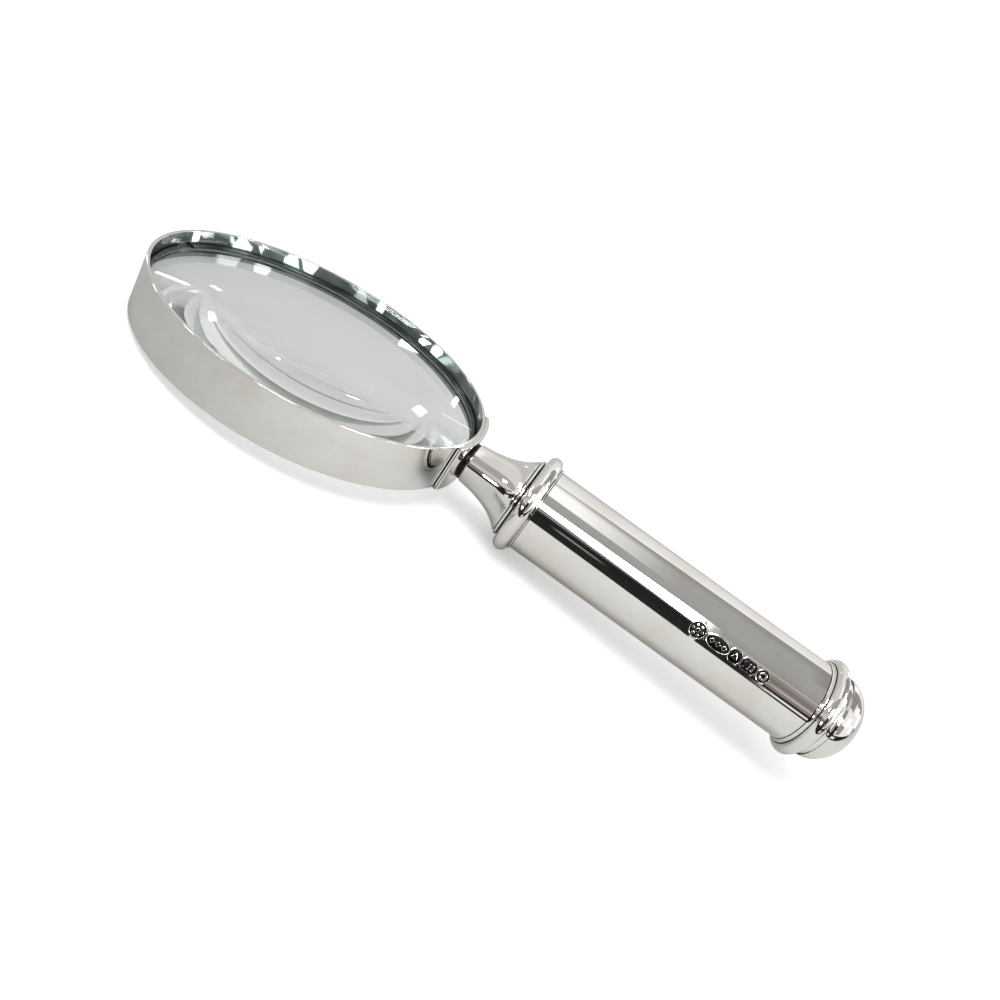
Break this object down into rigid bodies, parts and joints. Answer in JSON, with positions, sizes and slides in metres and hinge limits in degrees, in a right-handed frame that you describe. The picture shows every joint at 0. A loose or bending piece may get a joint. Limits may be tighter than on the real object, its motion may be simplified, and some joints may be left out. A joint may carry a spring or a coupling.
{
  "type": "hand lens",
  "caption": "Hand lens with a round double-convex glass in a plain polished band and a cylindrical metal handle with beaded ends that screws onto the band's neck.",
  "frame": {"origin": "centre of the lens, on its optical axis and in its mid-plane", "axes": "+X from the lens along the handle's axis, +Z along the optical axis, +Y across the lens"},
  "size_m": [0.1814, 0.078, 0.024],
  "materials": {
    "polished_silver": "mirror-polished sterling silver",
    "lens_glass": "optically polished crown glass, faint green at the edge",
    "spring_wire": "bright drawn wire",
    "steel_fixings": "turned steel",
    "brass_inserts": "turned brass",
    "black_washer": "black fibre, matt",
    "wood_core": "turned beech, unfinished"
  },
  "bodies": {
    "lens_frame": {"rim_band": "polished_silver", "lens": "lens_glass", "lens_seat_ring": "spring_wire", "lens_retaining_ring": "spring_wire", "saddle_plate": "polished_silver", "neck_boss": "polished_silver", "frame_stud": "steel_fixings"},
    "washer": {"neck_washer": "black_washer"},
    "handle": {"ferrule": "polished_silver", "threaded_bush": "brass_inserts", "collar_thin_ring": "polished_silver", "collar_bead": "polished_silver", "collar_seat_ring": "polished_silver", "front_plug": "brass_inserts", "handle_tube": "polished_silver", "handle_core": "wood_core", "tie_rod": "steel_fixings", "rear_plug": "brass_inserts", "end_seat_ring": "polished_silver", "end_bead": "polished_silver", "end_neck_ring": "polished_silver", "rear_washer": "steel_fixings", "rear_nut": "steel_fixings", "end_dome": "polished_silver"}
  },
  "joints": [
    {"name": "handle_unscrew", "type": "slide", "parent": "lens_frame", "child": "washer", "axis": [1, 0, 0], "range_m": [0, 0.0077]},
    {"name": "handle_turn", "type": "hinge", "parent": "washer", "child": "handle", "pos_m": [0.0407, 0, 0], "axis": [1, 0, 0], "range_deg": [0, 3961]}
  ],
  "couplings": [
    {"joint": "handle_turn", "follows": "handle_unscrew", "rad_per_m": 8976}
  ]
}
